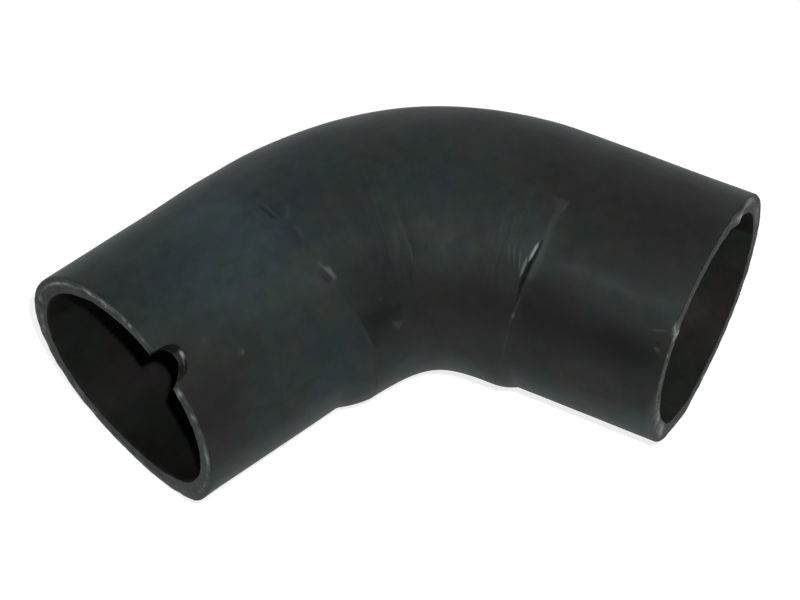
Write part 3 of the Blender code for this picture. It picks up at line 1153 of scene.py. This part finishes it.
def add_piece(name, mesh, materials):
    """A piece of the hose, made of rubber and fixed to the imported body."""
    piece = new_object(name, mesh)
    for material in materials:
        mesh.materials.append(material)
    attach(piece, "root")
    return piece


def make_hose():
    """The hose, in place of the plain packed one, and the thread ends in its cut faces."""
    mesh, end_a, end_b = hose_mesh()
    hose = add_piece("rubber_elbow", mesh, (skin_material(), cut_material(), bore_material()))
    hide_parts("hose")
    thread = thread_material()
    threads_a = make_threads("thread_ends_a", end_a, *THREADS_AT_A, BARE_AT_A)
    threads_b = make_threads("thread_ends_b", end_b, *THREADS_AT_B)
    add_piece("thread_ends_a", threads_a, (thread,))
    add_piece("thread_ends_b", threads_b, (thread,))


def facing(azimuth, elevation):
    """Unit vector from the object towards a place seen at those angles, in degrees."""
    turn = math.radians(azimuth)
    lift = math.radians(elevation)
    return Vector((math.sin(turn) * math.cos(lift), -math.cos(turn) * math.cos(lift), math.sin(lift)))


def make_camera():
    """The camera of the photograph."""
    data = bpy.data.cameras.new("camera")
    data.lens = CAMERA_LENS
    data.sensor_width = SENSOR_WIDTH
    data.clip_start = 0.01
    data.clip_end = 50.0
    camera = new_object("camera", data)
    back = facing(CAMERA_AZIMUTH, CAMERA_ELEVATION)
    turned = (-back).to_track_quat("-Z", "Y").to_matrix().to_4x4()
    rolled = turned @ Matrix.Rotation(math.radians(CAMERA_ROLL), 4, "Z")
    camera.matrix_world = Matrix.Translation(Vector(CAMERA_LOOKS_AT) + back * CAMERA_DISTANCE) @ rolled
    bpy.context.scene.camera = camera


def make_lamp(name, azimuth, elevation, distance, size, power):
    """A square soft lamp that looks at the hose."""
    data = bpy.data.lights.new(name, "AREA")
    data.size = size
    data.energy = power
    lamp = new_object(name, data)
    back = facing(azimuth, elevation)
    lamp.location = Vector(CAMERA_LOOKS_AT) + back * distance
    lamp.rotation_mode = "QUATERNION"
    lamp.rotation_quaternion = (-back).to_track_quat("-Z", "Y")


def make_world():
    """White to the camera, and a dim room to the object, paler low down."""
    world = bpy.data.worlds.new("studio")
    bpy.context.scene.world = world
    world.use_nodes = True
    tree = world.node_tree
    parts = node(tree, "ShaderNodeSeparateXYZ")
    fill(parts, {"Vector": node(tree, "ShaderNodeTexCoord").outputs["Generated"]})
    height = parts.outputs["Z"]
    room = remapped(height, 0.0, ROOM_TOP, *ROOM_LIGHT)
    mirrored = remapped(height, 0.0, MIRRORED_TOP, *MIRRORED_LIGHT)
    path = node(tree, "ShaderNodeLightPath")
    dim = mixed(path.outputs["Is Glossy Ray"], room, mirrored, kind="Float")
    strength = mixed(path.outputs["Is Camera Ray"], dim, 1.0, kind="Float")
    fill(tree.nodes["Background"], {"Color": (1.0, 1.0, 1.0), "Strength": strength})


def make_floor():
    """A pale floor that shows white, with the hose's shadow on it."""
    half = FLOOR_HALF
    corners = [(-half, -half, 0.0), (half, -half, 0.0), (half, half, 0.0), (-half, half, 0.0)]
    mesh = bpy.data.meshes.new("floor")
    mesh.from_pydata(corners, [], [(0, 1, 2, 3)])
    floor = new_object("floor", mesh)
    material = bpy.data.materials.new("pale_floor")
    material.use_nodes = True
    tree = material.node_tree
    tree.nodes.remove(tree.nodes["Principled BSDF"])
    matt = node(tree, "ShaderNodeBsdfDiffuse")
    fill(matt, {"Color": (FLOOR_GREY,) * 3})
    glow = node(tree, "ShaderNodeEmission")
    path = node(tree, "ShaderNodeLightPath")
    mirrored = times(path.outputs["Is Glossy Ray"], FLOOR_MIRRORED)
    seen = calculated("MAXIMUM", path.outputs["Is Camera Ray"], mirrored)
    fill(glow, {"Strength": remapped(seen, 0.0, 1.0, 0.0, FLOOR_GLOW)})
    both = node(tree, "ShaderNodeAddShader")
    fill(both, {0: matt.outputs["BSDF"], 1: glow.outputs["Emission"]})
    fill(tree.nodes["Material Output"], {"Surface": both.outputs["Shader"]})
    mesh.materials.append(material)


bpy.context.scene.view_settings.view_transform = "Standard"
make_camera()
make_hose()
for lamp_values in LAMPS:
    make_lamp(*lamp_values)
make_world()
make_floor()
